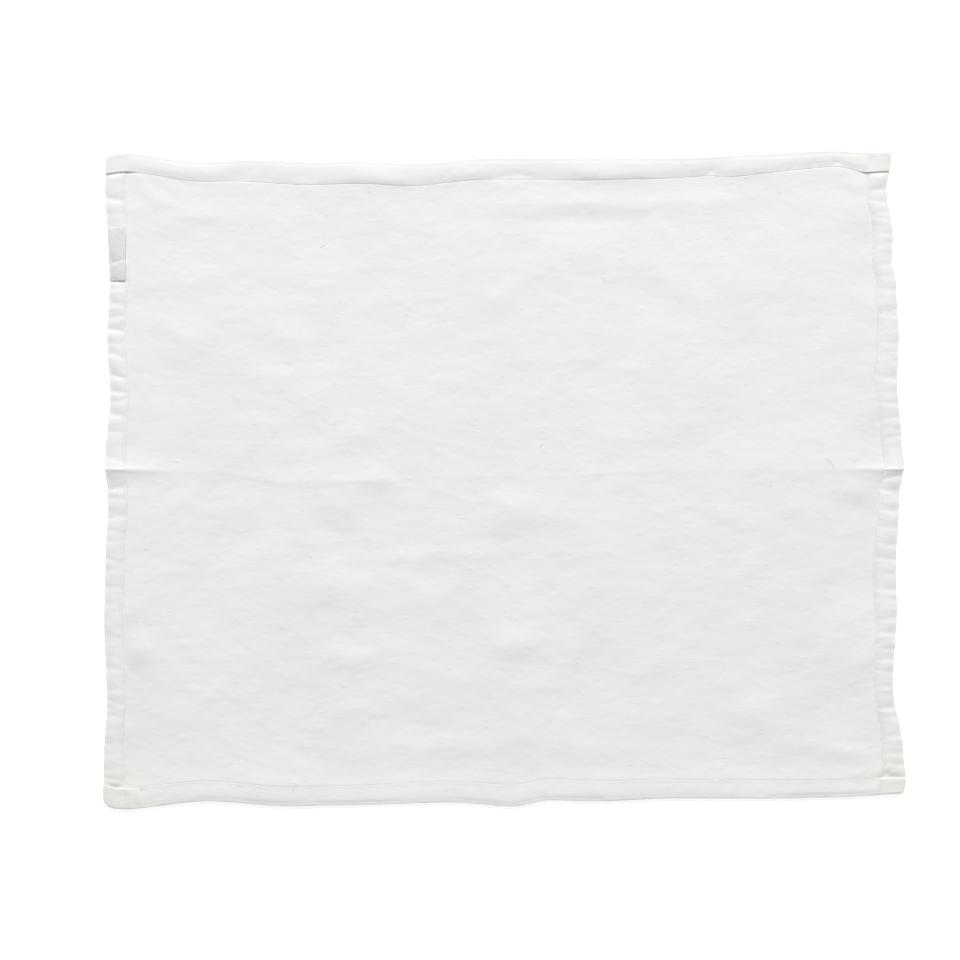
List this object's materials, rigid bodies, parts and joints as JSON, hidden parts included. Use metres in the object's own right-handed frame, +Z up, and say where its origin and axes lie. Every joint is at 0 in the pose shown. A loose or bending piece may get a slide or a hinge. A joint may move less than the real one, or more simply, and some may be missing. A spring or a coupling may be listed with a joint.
{
  "type": "fabric placemat",
  "caption": "Rectangular washed linen placemat lying flat, with folded and puckered hems, a soft pressed fold line across the middle and a small bare woven label on one hem.",
  "frame": {"origin": "middle of the cloth's plan box, on the surface that it lies on", "axes": "+X to the right along the long hems, +Y to the far long hem, +Z up from the surface; the hems' folded side is up"},
  "size_m": [0.4615, 0.3787, 0.0047],
  "materials": {
    "linen": "matt washed plain weave with slubs",
    "label_tape": "smooth close-woven tape"
  },
  "bodies": {
    "root": {"cloth": "linen", "label": "label_tape"}
  },
  "joints": []
}
